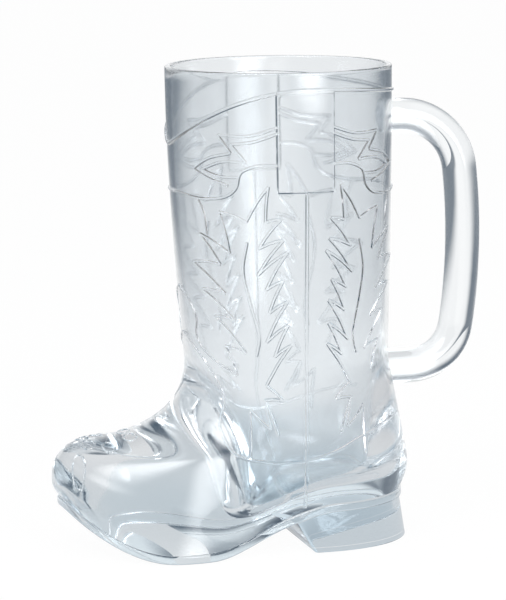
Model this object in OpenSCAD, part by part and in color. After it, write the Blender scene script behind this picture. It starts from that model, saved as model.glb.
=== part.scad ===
// Boot mug: a clear moulded drinking mug in the shape of a western boot.
// Toe towards -X, handle towards +X, +Z up. The part stands on z = 0, and the
// origin is at the middle of its footprint box.

/* [Shaft] */
// Height of the rim above the table
mug_h = 165; // [150:1:185]
// Outer radius at the rim
rim_r = 39; // [36:0.5:42]
// Outer radius at the ankle
ankle_r = 35.3; // [32:0.1:36]
// Height of the ankle
ankle_z = 64; // [58:1:70]
// How far the ankle sits back of the rim's axis
ankle_shift = 1.9; // [0:0.1:4]
// Wall thickness of the shaft
wall = 2; // [1.4:0.1:2.6]
// Chamfer on both edges of the rim
lip = 0.5; // [0.2:0.1:0.6]

/* [Foot] */
// Reach of the toe from the shaft's axis
toe_reach = 81; // [74:0.5:90]
// How far the toe tucks back under its nose
toe_tuck = 2.5; // [1:0.1:4]
// Height of the toe's foremost point
toe_nose_z = 24; // [22:0.5:27]
// Length of the rounded toe cap
toe_cap_len = 15; // [11:0.5:18]
// Height of the toe cap's top
toe_cap_z = 38; // [35:0.5:42]
// Distance of the ball of the foot from the shaft's axis
ball_x = 41; // [38:0.5:45]
// Half-width of the sole at the ball
ball_half = 36; // [33:0.5:39]
// Distance of the waist from the shaft's axis
waist_x = 12; // [9:0.5:16]
// Half-width of the sole at the waist
waist_half = 30; // [27:0.5:32]
// How far the sides are drawn in above the waist
waist_pinch = 3; // [0:0.25:4]

/* [Well] */
// Radius of the drinking well above its floor
well_r = 30.5; // [28:0.5:31]
// How far the well's floor sits back of the ankle
well_shift = 0.9; // [0:0.1:2]
// Thickness of the floor above the outsole
floor_t = 5; // [4:0.5:7]
// Rounding between the well's wall and its floor
floor_round = 8; // [5:0.5:11]

/* [Heel counter] */
// Half-width of the sole at the heel seat
seat_half = 33.5; // [31:0.5:36]
// How far the counter flares back below the ankle
back_flare = 9; // [6:0.25:11]
// How far the flare tucks in again at the sole
back_tuck = 5; // [2:0.25:6]
// How far each side flares out below the ankle
side_flare = 2.4; // [1:0.1:3.5]
// How far each side tucks in again at the sole
side_tuck = 4; // [2:0.1:5]

/* [Outsole] */
// Thickness of the outsole
sole_t = 3; // [2.4:0.1:3.6]
// How far the outsole stands out round the upper
welt = 0.6; // [0.3:0.1:1.2]
// Lift of the toe above the table
toe_spring = 15.5; // [10:0.5:17]
// Length of the flat land under the ball
land_len = 12; // [8:0.5:16]

/* [Heel] */
// Height of the heel from the table to the outsole
heel_h = 14.5; // [12:0.5:17]
// Where the breast meets the table, back from the shaft's axis
breast_foot = 4; // [2:0.5:8]
// Slope of the breast, forward for each unit up
breast_slope = 0.62; // [0.4:0.02:0.8]
// Half-width of the heel at the table
heel_half = 30.7; // [28:0.1:32]
// How far the heel's back stands out at the table
heel_flare = 2.2; // [0:0.1:3]
// Thickness of the plate under the heel
lift_t = 1.8; // [1.4:0.1:2.6]

/* [Handle] */
// Diameter of the handle's rod
rod_d = 12; // [10:0.25:13]
// Reach of the handle's outer face from the shaft's axis
handle_reach = 71.8; // [68:0.2:80]
// Height of the handle's upper root
root_z = 146; // [140:0.5:148]
// Radius of the grip's bow
grip_bow_r = 210; // [160:5:300]
// Sweep of the bow above its furthest point
bow_up = 6; // [4:0.5:8]
// Sweep of the bow below its furthest point
bow_down = 9; // [7:0.5:10]
// Bend radius at the top of the handle
top_bend_r = 21; // [17:0.5:22]
// Bend radius at the foot of the handle
foot_bend_r = 17; // [14:0.5:20]

/* [Relief] */
// Half-width of the pull strap panel
strap_half = 9.4; // [7:0.2:11]
// Height of the pull strap's lower end
strap_z = 125; // [118:1:130]
// How far the strap stands out of the shaft
strap_relief = 0.6; // [0.3:0.1:0.8]
// Width of the piping and the top scallop's bead
bead_w = 1.5; // [1:0.1:2]
// How far the piping and the bead stand out
bead_relief = 0.7; // [0.4:0.1:1]
// Height of the top scallop at the front
scallop_front_z = 139; // [135:1:146]
// Height of the top scallop at the sides
scallop_side_z = 159; // [150:1:160]
// Height of the top scallop at the back
scallop_back_z = 156; // [153:1:159]

/* [Fits] */
// Film of cement in each bonded joint
bond = 0.1; // [0.05:0.05:0.2]

/* [Hidden] */

clear_plastic = [0.86, 0.91, 0.95, 0.4];

// Middle of the footprint box, so the part is centred on its origin
origin_x = (toe_reach - handle_reach) / 2;

// Driving places along the foot, from the shaft's axis
land_ahead = 1 / 3;
feather_x = -(toe_reach - toe_tuck);
cap_x = -(toe_reach - toe_cap_len);
land_front = -ball_x - land_ahead * land_len;
land_back = land_front + land_len;
arch_end = waist_x;
ankle_front = ankle_shift - ankle_r;
ankle_back = ankle_shift + ankle_r;
seat_back = ankle_back + back_flare - back_tuck;
seat_x = waist_x - breast_foot;

// Where the counter starts to tuck in, and the powers of the rounded outlines
tuck_from = 0.75;
nose_power = 1.9;
cap_power = 2.4;
vamp_power = 2.15;
scallop_power = 1.3;
heel_power = 0.9;

// Place, length and most share of the half-width of the pinch above the waist, and the share of
// the way up at which the sole's outline has turned into the ankle's
pinch_ahead = 10;
pinch_len = 13;
pinch_most = 1 / 3;
egg_from = 0.7;

// How far a cutting shape runs past what it cuts
over = 1;

function sq(v) = v * v;
function mix(a, b, t) = a + (b - a) * t;
function ease(t) = let (s = min(1, max(0, t))) s * s * (3 - 2 * s);
function swell(t) = (1 - cos(180 * min(1, max(0, t)))) / 2;

// Underside of the outsole: toe spring, flat land under the ball, arch, heel seat
function sole_z(x) =
    x < land_front ? toe_spring * sq((land_front - max(x, feather_x)) / (land_front - feather_x))
    : x < land_back ? 0
    : heel_h * ease((x - land_back) / (arch_end - land_back));
function feather_z(x) = sole_z(x) + sole_t + bond;

// Shaft above the ankle
function shaft_t(z) = sin(90 * (z - ankle_z) / (mug_h - ankle_z));
function shaft_r(z) = mix(ankle_r, rim_r, shaft_t(z));
function shaft_x(z) = ankle_shift * (1 - shaft_t(z));

// Heel counter below the ankle, with t from 0 at the ankle to 1 at the sole
function tuck(t) = sq(max(0, t - tuck_from) / (1 - tuck_from));
function counter_back(t) = ankle_back + back_flare * t - back_tuck * tuck(t);
function counter_at(z) = counter_back((ankle_z - z) / (ankle_z - heel_h - sole_t - bond));
function counter_half(t) = ankle_r + side_flare * t - side_tuck * tuck(t);

// Outline of the sole, with its toe at x = tip and its back at x = back
function sole_half(x, tip, back) =
    x <= tip || x >= back ? 0
    : x < -ball_x ? ball_half * pow(1 - pow((-ball_x - x) / (-ball_x - tip), nose_power), 1 / nose_power)
    : x < -waist_x ? mix(ball_half, waist_half, swell((x + ball_x) / (ball_x - waist_x)))
    : x < seat_x ? mix(waist_half, seat_half, swell((x + waist_x) / (seat_x + waist_x)))
    : seat_half * sqrt(1 - sq((x - seat_x) / (back - seat_x)));

// Egg-shaped outline of the ankle and instep
function egg_half(x, tip, back, half) =
    x <= tip || x >= back ? 0
    : x < ankle_shift ? half * sqrt(1 - sq((ankle_shift - x) / (ankle_shift - tip)))
    : half * sqrt(1 - sq((x - ankle_shift) / (back - ankle_shift)));

// Half-width of the upper at x on the contour that is a share up from the sole to the ankle
function upper_half(x, tip, share) =
    let (
        t = 1 - share,
        back = counter_back(t),
        egg = egg_half(x, tip, back, counter_half(t)),
        sole = sole_half(x, tip, back),
        pinch = waist_pinch * sin(180 * share) * exp(-sq((x + waist_x + pinch_ahead) / pinch_len))
    )
    max(0, mix(sole, egg, sin(90 * min(1, share / egg_from))) - min(pinch, egg * pinch_most));

// Profile down the front: tucked under the toe, over the cap, along the vamp to the ankle
tuck_steps = 2;
cap_steps = 6;
vamp_steps = 9;
function cap_point(a) = [
    cap_x - toe_cap_len * pow(cos(a), 2 / cap_power),
    toe_nose_z + (toe_cap_z - toe_nose_z) * pow(sin(a), 2 / cap_power)
];
function vamp_point(a) = [
    cap_x + (ankle_front - cap_x) * pow(sin(a), 2 / vamp_power),
    ankle_z - (ankle_z - toe_cap_z) * pow(cos(a), 2 / vamp_power)
];
front_profile = concat(
    [for (i = [0:tuck_steps - 1]) let (t = i / tuck_steps)
        [feather_x - toe_tuck * (1 - sq(1 - t)), mix(feather_z(feather_x), toe_nose_z, t)]],
    [for (i = [0:cap_steps - 1]) cap_point(90 * i / cap_steps)],
    [for (i = [0:vamp_steps - 1]) vamp_point(90 * i / vamp_steps)]
);

// Stations along a half contour: close at both ends, at the strap's edges and at the piping
front_steps = 18;
back_steps = 9;
strap_edge = 0.8;
side_stations = [
    -strap_half - strap_edge, -strap_half, -strap_half / 2, -bead_w / 2, 0,
    bead_w / 2, strap_half / 2, strap_half, strap_half + strap_edge
];
side_count = len(side_stations);
piping_station = front_steps + (side_count - 1) / 2;
strap_stations = [for (i = [1:side_count - 2]) front_steps + i];
function stations(tip, back) =
    let (from = side_stations[0], to = side_stations[side_count - 1])
    concat(
        [for (i = [0:front_steps - 1]) tip + (from - tip) * (1 - cos(90 * i / front_steps))],
        side_stations,
        [for (i = [1:back_steps]) to + (back - to) * sin(90 * i / back_steps)]
    );
half_count = front_steps + side_count + back_steps;
ring_count = 2 * (half_count - 1);

// A closed contour from its half on the +Y side
function mirrored(half) = concat(
    half,
    [for (i = [len(half) - 2:-1:1]) [half[i][0], -half[i][1], half[i][2]]]
);

function foot_contour(front) =
    let (
        low = feather_z(front[0]),
        share = (front[1] - low) / (ankle_z - low),
        back = counter_back(1 - share),
        xs = stations(front[0], back)
    )
    mirrored([for (x = xs) [x, upper_half(x, front[0], share), mix(feather_z(x), ankle_z, share)]]);

function shaft_contour(level) =
    let (z0 = level[0], xs = stations(shaft_x(z0) - shaft_r(z0), shaft_x(z0) + shaft_r(z0)))
    mirrored([for (x = xs)
        let (
            a = acos(max(-1, min(1, (shaft_x(z0) - x) / shaft_r(z0)))),
            z = mix(z0, scallop(a), level[1]) + level[2]
        )
        [shaft_x(z) - shaft_r(z) * cos(a), shaft_r(z) * sin(a), z]]);

// Height of the top scallop round the shaft, by the angle from the front
function scallop(a) = a < 90
    ? mix(scallop_front_z, scallop_side_z, pow(sin(a), scallop_power))
    : mix(scallop_side_z, scallop_back_z, sq(cos(a)));

// Levels up the shaft: height, share of the scallop's line in it, and offset from it
below_strap = 6;
shaft_levels = concat(
    [for (i = [0:below_strap - 1]) [mix(ankle_z, strap_z - strap_edge, i / below_strap), 0, 0]],
    [[strap_z - strap_edge, 0, 0], [strap_z, 0, 0], [strap_z, 0.5, 0]],
    [for (i = [-1:1]) [strap_z, 1, i * bead_w / 2]],
    [[mug_h - lip, 0.5, 0], [mug_h - lip, 0, 0]]
);

// Rows of the skin that carry the straps and the bead, counted up from the straps' lower edge
foot_rows = len(front_profile);
bead_level = 4;
strap_rows = [for (i = [1:bead_level]) foot_rows + below_strap + i];
bead_row = foot_rows + below_strap + bead_level;

// Outer skin of the upper, without its relief
skin = concat(
    [for (p = front_profile) foot_contour(p)],
    [for (l = shaft_levels) shaft_contour(l)]
);
rows = len(skin);

function unit(v) = v / max(norm(v), 1e-9);
function outward(i, j) =
    let (
        up = skin[min(rows - 1, i + 1)][j] - skin[max(0, i - 1)][j],
        round = skin[i][(j + 1) % ring_count] - skin[i][(j + ring_count - 1) % ring_count]
    )
    unit(cross(up, round));
function folded(j) = j < half_count ? j : ring_count - j;
function has(list, v) = len([for (e = list) if (e == v) e]) > 0;

// Relief at a point of the skin: the top scallop's bead, the pull straps and the side piping
function relief(i, j) =
    let (s = folded(j))
    i == bead_row ? bead_relief
    : has(strap_rows, i) && has(strap_stations, s) ? strap_relief
    : i < strap_rows[0] && s == piping_station ? bead_relief
    : 0;

// The skin moved out by its relief plus d, with the sole's edge and the rim kept level
function moved(i, j, d, raised) =
    let (p = skin[i][j], n = outward(i, j), q = p + n * (d + (raised ? relief(i, j) : 0)))
    i == 0 || i == rows - 1 ? [q[0], q[1], p[2]] : q;
function ring(i, d, raised) = [for (j = [0:ring_count - 1]) moved(i, j, d, raised)];
function level_ring(r, z) = [for (p = r) [p[0], p[1], z]];

// Faces between the rings of a closed tube, by the number of rings
function tube_faces(count, n) = [
    for (i = [0:count - 2], j = [0:n - 1])
        let (a = i * n + j, b = i * n + (j + 1) % n)
        each [[a, b, a + n], [b, b + n, a + n]]
];

// Drinking well below the ankle: the shaft's round wall goes on down to a rounded floor over the sole
well_steps = 4;
round_steps = 6;
ankle_ring = ring(foot_rows, -wall, false);
function floor_z(x) = feather_z(x) + floor_t;
function well_ring(r, share, lift) = [for (p = ankle_ring)
    let (
        u = unit([p[0] - ankle_shift, p[1]]),
        x = ankle_shift + well_shift * (1 - share) + r * u[0]
    )
    [x, r * u[1], mix(floor_z(x) + lift, ankle_z, share)]];
well = concat(
    [for (i = [well_steps - 1:-1:0]) let (t = i / well_steps)
        well_ring(mix(well_r, ankle_r - wall, t), t, floor_round)],
    [for (i = [1:round_steps]) let (a = 90 * i / round_steps)
        well_ring(well_r - floor_round * (1 - cos(a)), 0, floor_round * (1 - sin(a)))]
);

// Faces that close a ring by strips across it, from each point to the one that mirrors it
function strips(n) = [for (j = [0:n / 2 - 1])
    let (a = (n - j) % n, b = n - j - 1)
    each concat(j > 0 ? [[j + 1, j, a]] : [], j < n / 2 - 1 ? [[j + 1, a, b]] : [])];

// A vessel of rings: outside up, over the lip and down the inside, closed at both ends
module vessel(rings) {
    n = len(rings[0]);
    last = (len(rings) - 1) * n;
    polyhedron(
        points = [for (r = rings) each r],
        faces = concat(
            tube_faces(len(rings), n),
            strips(n),
            [for (f = strips(n)) [last + f[0], last + f[2], last + f[1]]]
        )
    );
}

// A solid of rings, closed by a fan at each end
module capped(rings) {
    n = len(rings[0]);
    top = (len(rings) - 1) * n;
    polyhedron(
        points = [for (r = rings) each r],
        faces = concat(
            tube_faces(len(rings), n),
            [for (j = [1:n - 2]) [0, j + 1, j]],
            [for (j = [1:n - 2]) [top, top + j, top + j + 1]]
        )
    );
}

module placed() {
    translate([origin_x, 0, 0]) color(clear_plastic) children();
}

// Shaft and solid foot in one moulding, with the drinking well in it
module boot_upper() {
    placed() vessel(concat(
        [for (i = [0:rows - 1]) ring(i, 0, true)],
        [level_ring(ring(rows - 1, -lip, false), mug_h)],
        [level_ring(ring(rows - 1, lip - wall, false), mug_h)],
        [for (i = [rows - 1:-1:foot_rows]) ring(i, -wall, false)],
        well
    ));
}

// Outline of the upper's lower edge in plan, moved out by d
function sole_outline(d) = [for (j = [0:ring_count - 1])
    let (
        p = skin[0][j],
        round = skin[0][(j + 1) % ring_count] - skin[0][(j + ring_count - 1) % ring_count],
        n = unit([-round[1], round[0]])
    )
    [p[0] + d * n[0], p[1] + d * n[1]]];

// Slab along the foot between two heights above the underside of the outsole
module sole_slab(low, high) {
    margin = welt + over;
    xs = concat([feather_x - margin], stations(feather_x, seat_back), [seat_back + margin]);
    rotate([90, 0, 0]) linear_extrude(height = 2 * (ball_half + margin), center = true) polygon(concat(
        [for (x = xs) [x, sole_z(x) + low]],
        [for (i = [len(xs) - 1:-1:0]) [xs[i], sole_z(xs[i]) + high]]
    ));
}

// A plate that follows the foot, cemented under the upper
module outsole() {
    placed() intersection() {
        sole_slab(0, sole_t);
        linear_extrude(height = mug_h) polygon(sole_outline(welt));
    }
}

// Outline of the heel at height z
heel_steps = 28;
function heel_outline(z) =
    let (
        front = breast_foot - breast_slope * z,
        back = seat_back + heel_flare * (1 - z / heel_h),
        half = mix(heel_half, seat_half - welt, z / heel_h)
    )
    [for (i = [0:heel_steps])
        let (a = -90 + 180 * i / heel_steps)
        [front + (back - front) * pow(cos(a), heel_power), -half * sin(a), z]];

// The heel's shape between two heights
module heel_form(low, high) {
    capped([heel_outline(low), heel_outline(high)]);
}

// The part of a shape that lies below the outsole
module under_sole() {
    intersection() {
        children();
        sole_slab(-heel_h - over, -bond);
    }
}

// The solid heel, cemented under the outsole
module heel_block() {
    placed() under_sole() heel_form(lift_t + bond, heel_h + over);
}

// The plate that the heel stands on
module heel_lift() {
    placed() heel_form(0, lift_t);
}

// Centres of the handle's three bends, in the plane of the boot's profile
bow_centre = [
    handle_reach - rod_d / 2 - grip_bow_r,
    root_z - top_bend_r - (grip_bow_r - top_bend_r) * sin(bow_up)
];
top_centre = bow_centre + (grip_bow_r - top_bend_r) * [cos(bow_up), sin(bow_up)];
foot_centre = bow_centre + (grip_bow_r - foot_bend_r) * [cos(bow_down), -sin(bow_down)];
foot_z = foot_centre[1] - foot_bend_r;

// Where the shaft's back lies beside a point of a handle root, with the bond's film on it
function back_x(y, z) = z > ankle_z
    ? shaft_x(z) + sqrt(sq(shaft_r(z)) - sq(y)) + bond
    : ankle_shift + (counter_at(z) - ankle_shift) * sqrt(1 - sq(y / ankle_r)) + bond;

rod_sides = 40;
bend_steps = 10;
bow_steps = 5;
rod_angles = [for (i = [0:rod_sides - 1]) 360 * i / rod_sides];
root_shares = [0.25, 0.6, 1];

// Ring of the rod at an angle of a bend
function rod_ring(centre, r, a) = [for (t = rod_angles)
    let (d = r + rod_d / 2 * cos(t))
    [centre[0] + d * cos(a), rod_d / 2 * sin(t), centre[1] + d * sin(a)]];

// Ring on the shaft's back at a share of the rod's radius, with up as 1 or -1
function root_ring(z, up, share) = [for (t = rod_angles)
    let (y = share * rod_d / 2 * sin(t), h = z + up * share * rod_d / 2 * cos(t))
    [back_x(y, h), y, h]];

// A round rod bowed away from the shaft and cemented to it at both ends
module handle() {
    placed() capped(concat(
        [for (e = root_shares) root_ring(root_z, 1, e)],
        [for (i = [0:bend_steps]) rod_ring(top_centre, top_bend_r, mix(90, bow_up, i / bend_steps))],
        [for (i = [1:bow_steps]) rod_ring(bow_centre, grip_bow_r, mix(bow_up, -bow_down, i / bow_steps))],
        [for (i = [1:bend_steps]) rod_ring(foot_centre, foot_bend_r, mix(-bow_down, -90, i / bend_steps))],
        [for (i = [len(root_shares) - 1:-1:0]) root_ring(foot_z, -1, root_shares[i])]
    ));
}

boot_upper();
outsole();
heel_block();
heel_lift();
handle();
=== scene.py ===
"""Clear boot mug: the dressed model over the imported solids.

The mug is a moulded upper with raised stitch lines and a drinking well in its solid foot, an outsole,
a solid heel, the plate under it, and a solid looped handle. Metres, in the frame of the solids: toe
towards -X, handle towards +X, +Z up.
"""

import math

import bmesh
import bpy
import numpy as np
from bpy.props import FloatProperty, FloatVectorProperty, PointerProperty
from mathutils import Matrix, Vector


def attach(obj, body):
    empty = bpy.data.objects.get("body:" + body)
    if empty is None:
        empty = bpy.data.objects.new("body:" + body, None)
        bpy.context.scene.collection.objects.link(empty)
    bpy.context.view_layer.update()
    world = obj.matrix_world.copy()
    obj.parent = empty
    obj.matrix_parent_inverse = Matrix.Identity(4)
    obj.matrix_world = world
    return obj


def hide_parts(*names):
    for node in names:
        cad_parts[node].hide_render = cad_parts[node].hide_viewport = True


bl_info = {
    "name": "Clear Boot Mug",
    "version": (1, 0, 0),
    "blender": (4, 5, 0),
    "location": "View3D > Sidebar > Boot Mug",
    "description": "Builds a clear moulded boot mug and a plain studio round it",
    "category": "Add Mesh",
}

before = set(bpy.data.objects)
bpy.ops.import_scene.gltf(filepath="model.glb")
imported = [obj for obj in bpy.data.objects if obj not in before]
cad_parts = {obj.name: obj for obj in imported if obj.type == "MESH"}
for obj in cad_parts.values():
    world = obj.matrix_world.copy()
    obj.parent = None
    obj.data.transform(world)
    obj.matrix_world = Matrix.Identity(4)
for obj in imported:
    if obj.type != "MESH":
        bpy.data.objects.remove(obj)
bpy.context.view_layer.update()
PHOTO_HEIGHT = 600

# Curves of the foot, as the solids have them
BREAST_SLOPE = 0.62
NOSE_POWER = 1.9
CAP_POWER = 2.4
VAMP_POWER = 2.15
SCALLOP_POWER = 1.3
TUCK_FROM = 0.75
EGG_FROM = 0.7
PINCH_AHEAD = 0.010
PINCH_RUN = 0.013
# Bow of the handle's grip above and below its middle
BOW_UP = math.radians(6)
BOW_DOWN = math.radians(9)
# Middle lines that the sole and the heel close on: ends behind the shaft's axis, and shares of the way in
SOLE_MIDDLE = (-0.055, 0.018)
SOLE_SHARES = np.linspace(0, 1, 14)
HEEL_MIDDLE = (0.014, 0.022)
HEEL_SHARES = np.linspace(0, 1, 8)
# Outline of the heel: points along a side and a breast corner, the corner's radius, the back's power
HEEL_SIDE_STEPS = 90
HEEL_CORNER_STEPS = 8
HEEL_POINTS = 2 * (HEEL_SIDE_STEPS + HEEL_CORNER_STEPS) + 1
HEEL_CORNER = 0.0012
HEEL_POWER = 0.9
# Rounded edges of the outsole and of the plate under the heel
SOLE_SOFT = 0.0007
LIFT_SOFT = 0.0004
SOFT_TURN = np.linspace(0, np.pi / 2, 6)
# Edges of the pull strap: their width, the groove beside them, and the slope at the strap's foot
EDGE = 0.0003
GROOVE = 0.00022
STRAP_RUN = 0.0005
# The narrow of the ankle: half its change of slope, and how far up and down it is rounded
ANKLE_KINK = 0.055
ANKLE_ROUND = 0.014
# Films of cement: shares of the way out from the middle and distances from the face, the film's size,
# and where its faces are marked
ROOT_FILM = ((0, -0.0004), (1, -0.0004), (1, 0.00005), (0, 0.00005))
ROOT_FILM_SIZE = 0.98
ROOT_MARK = 0.97
SEAT_FILM = ((0, 0.0005), (1, 0.0005), (1, -0.00005), (0, -0.00005))
SEAT_MARK = 0.00002
# Raised lines: section, depth in the skin, spacing of points, and scales of the kinds of line
RIB_FOOT = 0.0018
RIB_CROWN = 0.0006
RIB_HEIGHT = 0.0011
RIB_ROUND = 0.00016
RIB_SUNK = 0.00006
RIB_STEP = 0.0009
RIB_TAPER = 0.95
RIB_TAPER_RUN = 0.001
OVAL_SCALE, STITCH_SCALE, SEAM_SCALE, BEAD_SCALE = 0.8, 1.0, 1.15, 1.25
# Small steps that the slopes of the skin are taken over: an angle and a length
TURN_STEP = 1e-3
PLACE_STEP = 1e-4
SHARP_EDGE = math.radians(35)
ROD_SIDES = 2 * np.pi * np.arange(72) / 72

# The flame stitch of one quarter of the boot, in degrees round from the front and millimetres above the
# table. The other quarters mirror it. A leaf has barbed edges, and each barb runs out from a notch to a
# tip. Each of the other lines is a smooth stroke through a few points.
LEAF_TOP = (70, 127)
FRONT_NOTCHES = ((58, 115), (48, 104), (42, 100), (44, 90), (49, 81), (54, 70))
FRONT_TIPS = ((43, 118), (29, 110), (22, 100), (28, 91), (36, 82), (41, 72))
FRONT_FOOT = (48, 62)
SEAM_NOTCHES = ((68, 115), (64, 106), (63, 97), (67, 92), (68, 84), (66, 74), (70, 69), (65, 59), (64, 54))
SEAM_TIPS = ((76, 116), (77, 109), (79, 105), (76, 95), (78, 88), (78, 80), (79, 73), (74, 54), (71, 42))
BARB_BOW = 0.03
QUARTER_LINES = (
    ((64, 54), (67, 44)),
    ((67, 44), (61, 47), (55, 51)),
    ((55, 51), (55, 44), (54, 34)),
    ((58, 108), (55, 98), (58, 87), (62, 76), (60, 69)),
    ((29, 122), (33, 117), (34, 110)),
    ((76, 147), (61, 144), (44, 144)),
    ((44, 144), (51, 138)),
    ((51, 138), (38, 136), (27, 132)),
    ((27, 132), (38, 129), (49, 127)),
    ((76, 145), (63, 142), (51, 141)),
    ((51, 141), (59, 135)),
    ((59, 135), (46, 135), (33, 132)),
    ((33, 132), (44, 130), (55, 130)),
    ((55, 130), (53, 126), (46, 123), (31, 122), (14, 123), (0, 123)),
    ((75, 134), (65, 134), (57, 132), (55, 130)),
)
# A line at an angle from the front is mirrored to this angle less its own on the boot's back.
BACK_MIRROR = 178
# Seams of one side: the tongue, and the vamp's edge from the front round to the back
TONGUE_LINE = ((0, 90), (12, 87), (20, 81), (19, 74), (28, 68), (48, 62))
VAMP_FRONT = ((0, 74), (10, 72), (26, 65), (37, 57), (38, 51), (33, 44), (43, 36), (63, 33))
VAMP_BACK = ((85, 33), (104, 36), (121, 40), (150, 44), (180, 45))
SIDE_LINES = (TONGUE_LINE, VAMP_FRONT + VAMP_BACK)
# Ovals on the toe: distances ahead of the shaft's axis and aside from the middle, in millimetres
TOE_OVALS = ((55, 5.5), (63.5, 11.5), (69.5, 5.5), (74.5, 13))
OVAL_HALF = (2.0, 4.2)

SMOOTH = {"interpolation_type": "SMOOTHSTEP"}
# Plastic: refraction, spread of the moulding's flow marks, and haze of each piece
POLYSTYRENE_IOR = 1.58
FLOW_SIZE = 0.018
FLOW_HAZE = (0.6, 1.4)
FLOW_WAVE = {"Strength": 0.04, "Distance": 0.001}
FLOW_TINT = 0.2
THIN_FROM = {"From Min": 0.02, "From Max": 0.045}
HAZE = {"shell": 0.07, "sole": 0.03, "heel": 0.03, "rod": 0.03}

# Directions over the floor as the camera has them: away from it, and to its right
BEHIND = Vector((0.24, 0.97, 0.0))
ACROSS = Vector((0.97, -0.24, 0.0))
# Tones that the plastic bends into view. On the floor, in metres: painted shade at the sides, counted
# across from a line by the mug, and a painted shadow round the heel. In the room, by direction: the
# bright field behind the mug, its upper edge, and the ceiling.
FLOOR_SIDE_SHADE = {"From Min": 0.17, "From Max": 0.52, "To Max": 0.9}
FLOOR_LINE = 0.06
FLOOR_HEEL_SHADOW = {"From Min": 0.17, "From Max": 0.03, "To Max": 0.3}
FLOOR_HEEL = Vector((0.03, 0.02, 0.0))
ROOM_FIELD = {"From Min": 0.66, "From Max": 0.92}
ROOM_TOP = {"From Min": 0.45, "From Max": 0.12}
ROOM_CEILING = {"From Min": 0.5, "From Max": 0.8, "To Max": 0.75}
FLOOR_SIZE = 16
FLOOR_GLOW = 0.97
# Lamps: name, width and height, watts, place
LAMPS = (
    ("front_softbox", (1.5, 1.0), 34, (-0.62, -0.74, 0.95)),
    ("side_strip", (1.3, 1.6), 44, (0.40, -1.15, 0.45)),
)
LAMP_AIM = Vector((0, 0, 0.08))
LAMP_EDGE = {"From Min": 0.5, "From Max": 0.1}
LIGHT_BOUNCES = 32


def length(default, title):
    """A size of the mug in metres."""
    return FloatProperty(name=title, default=default, unit="LENGTH", precision=4)


def linear(code):
    """An sRGB hex value as linear red, green and blue."""
    parts = [int(code[i : i + 2], 16) / 255 for i in (1, 3, 5)]
    return [c / 12.92 if c <= 0.04045 else ((c + 0.055) / 1.055) ** 2.4 for c in parts]


def tint(code, title):
    """A colour given as an sRGB hex value."""
    return FloatVectorProperty(name=title, default=linear(code), subtype="COLOR", size=3, min=0, max=1)


class BootShape(bpy.types.PropertyGroup):
    """Sizes of the mug, as its solids have them."""

    mug_h: length(0.165, "Height of the rim above the table")
    rim_r: length(0.039, "Outer radius at the rim")
    ankle_r: length(0.0353, "Outer radius at the ankle")
    ankle_z: length(0.064, "Height of the ankle")
    ankle_shift: length(0.0019, "Ankle back of the rim's axis")
    wall: length(0.002, "Wall thickness of the shaft")
    lip: length(0.0005, "Rounding on both edges of the rim")
    toe_reach: length(0.081, "Toe ahead of the shaft's axis")
    toe_tuck: length(0.0025, "Tuck of the toe under its nose")
    toe_nose_z: length(0.024, "Height of the toe's foremost point")
    toe_cap_len: length(0.015, "Length of the rounded toe cap")
    toe_cap_z: length(0.038, "Height of the toe cap's top")
    ball_x: length(0.041, "Ball of the foot ahead of the shaft's axis")
    ball_half: length(0.036, "Half-width of the sole at the ball")
    waist_x: length(0.012, "Waist from the shaft's axis")
    waist_half: length(0.030, "Half-width of the sole at the waist")
    waist_pinch: length(0.003, "Draw of the sides above the waist")
    seat_half: length(0.0335, "Half-width of the sole at the heel seat")
    well_r: length(0.0305, "Radius of the drinking well above its floor")
    well_shift: length(0.0009, "Well's floor back of the ankle")
    floor_t: length(0.005, "Thickness of the well's floor")
    floor_round: length(0.008, "Rounding of the well's floor")
    back_flare: length(0.009, "Flare of the counter's back below the ankle")
    back_tuck: length(0.005, "Tuck of the counter's back at the sole")
    side_flare: length(0.0024, "Flare of each side below the ankle")
    side_tuck: length(0.004, "Tuck of each side at the sole")
    sole_t: length(0.003, "Thickness of the outsole")
    welt: length(0.0006, "Outsole beyond the shell")
    toe_spring: length(0.0155, "Lift of the toe above the table")
    land_len: length(0.012, "Length of the flat land under the ball")
    heel_h: length(0.0145, "Height of the heel under the outsole")
    breast_foot: length(0.004, "Breast of the heel at the table")
    heel_half: length(0.0307, "Half-width of the heel at the table")
    heel_flare: length(0.0022, "Flare of the heel's back at the table")
    lift_t: length(0.0018, "Thickness of the plate under the heel")
    rod_d: length(0.012, "Diameter of the handle's rod")
    handle_reach: length(0.0718, "Handle's outer face from the shaft's axis")
    root_z: length(0.146, "Height of the handle's upper root")
    grip_bow_r: length(0.210, "Radius of the grip's bow")
    top_bend_r: length(0.021, "Bend radius at the top of the handle")
    foot_bend_r: length(0.017, "Bend radius at the foot of the handle")
    strap_half: length(0.0094, "Half-width of the pull strap")
    strap_z: length(0.125, "Height of the pull strap's lower end")
    strap_relief: length(0.0006, "Strap out of the shaft")
    scallop_front_z: length(0.139, "Height of the top scallop at the front")
    scallop_side_z: length(0.159, "Height of the top scallop at the sides")
    scallop_back_z: length(0.156, "Height of the top scallop at the back")
    bond: length(0.0001, "Film of cement in each bonded joint")


class BootLook(bpy.types.PropertyGroup):
    """Colours of the plastic and of the studio."""

    shell: tint("#f3f6f8", "Tint of the shell's plastic")
    sole: tint("#d9e5ec", "Tint of the thick plastic of the foot")
    heel: tint("#c3d4df", "Tint of the thick plastic of the heel")
    rod: tint("#f8fafb", "Tint of the handle's plastic")
    backdrop: tint("#ffffff", "Colour of the floor and the backdrop")
    surround: tint("#4a5b6b", "Colour of the room beside and above the mug")


def mix(a, b, t):
    """The value a share t of the way from a to b."""
    return a + (b - a) * t


def swell(t):
    """A smooth rise from 0 to 1."""
    return (1 - np.cos(np.pi * np.clip(t, 0, 1))) / 2


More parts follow.
